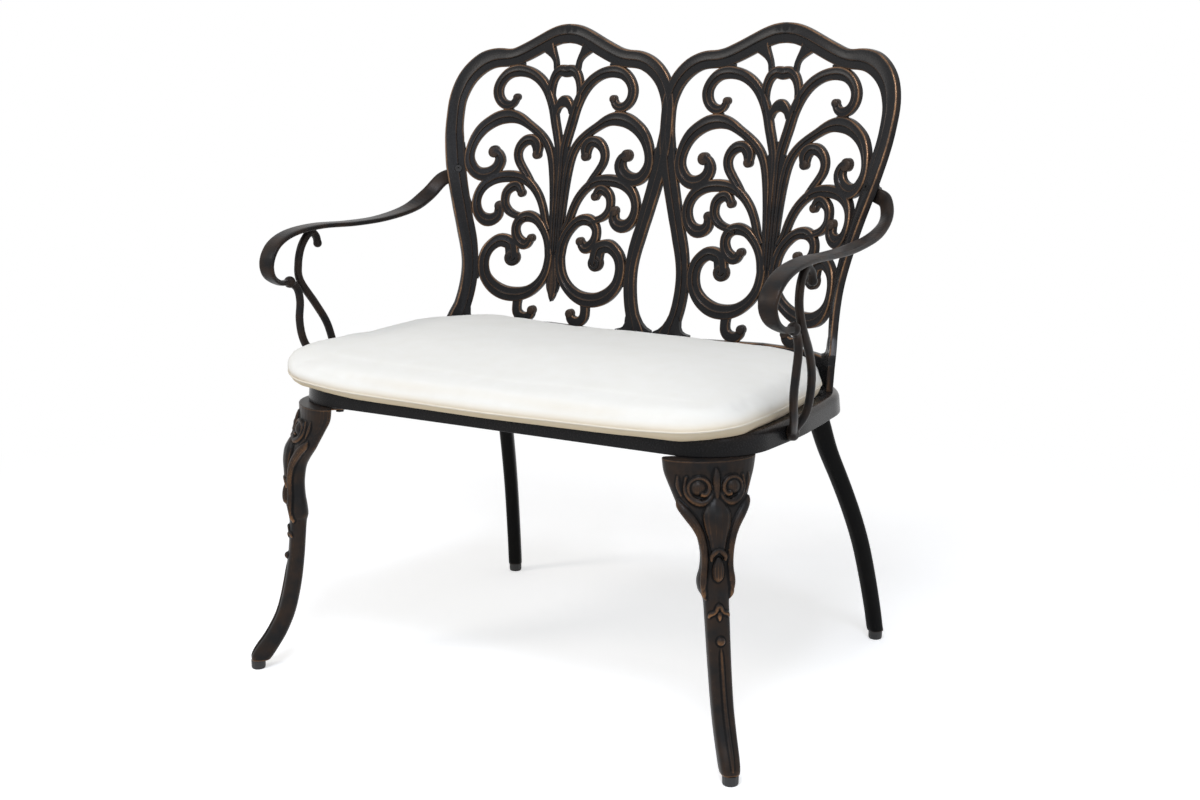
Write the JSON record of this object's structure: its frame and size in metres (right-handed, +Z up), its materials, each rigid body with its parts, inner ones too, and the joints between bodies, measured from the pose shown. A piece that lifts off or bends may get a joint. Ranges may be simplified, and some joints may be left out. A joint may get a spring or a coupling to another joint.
{
  "type": "garden bench",
  "caption": "Cast metal garden bench with a pierced scroll-work back, curled arms on crossed struts, cabriole front legs and a loose seat pad.",
  "frame": {"origin": "middle of the bench's box, on the floor", "axes": "the bench faces -Y, +X is its left-hand end for a sitter, +Z is up"},
  "size_m": [0.7974, 0.5926, 0.8944],
  "materials": {
    "bronze_casting": "antique bronze paint, copper rubbed on the edges",
    "glide": "black moulded plastic",
    "fastener": "blackened",
    "pad": "cream woven canvas"
  },
  "bodies": {
    "bench": {"back_panel": "bronze_casting", "seat_frame": "bronze_casting", "left_arm": "bronze_casting", "right_arm": "bronze_casting", "front_left_leg": "bronze_casting", "front_right_leg": "bronze_casting", "rear_left_leg": "bronze_casting", "rear_right_leg": "bronze_casting", "front_left_glide": "glide", "front_right_glide": "glide", "rear_left_glide": "glide", "rear_right_glide": "glide", "left_arm_screw": "fastener", "right_arm_screw": "fastener", "left_arm_nut": "fastener", "right_arm_nut": "fastener", "left_arm_bolt": "fastener", "right_arm_bolt": "fastener", "back_bolt_1": "fastener", "back_bolt_2": "fastener", "back_bolt_3": "fastener", "back_bolt_4": "fastener", "front_left_leg_bolt_a": "fastener", "front_left_leg_bolt_b": "fastener", "front_right_leg_bolt_a": "fastener", "front_right_leg_bolt_b": "fastener", "rear_left_leg_bolt_a": "fastener", "rear_left_leg_bolt_b": "fastener", "rear_right_leg_bolt_a": "fastener", "rear_right_leg_bolt_b": "fastener"},
    "pad": {"cushion": "pad"}
  },
  "joints": [
    {"name": "pad_lift", "type": "slide", "parent": "bench", "child": "pad", "axis": [0, 0, 1], "range_m": [0, 0.25]}
  ]
}
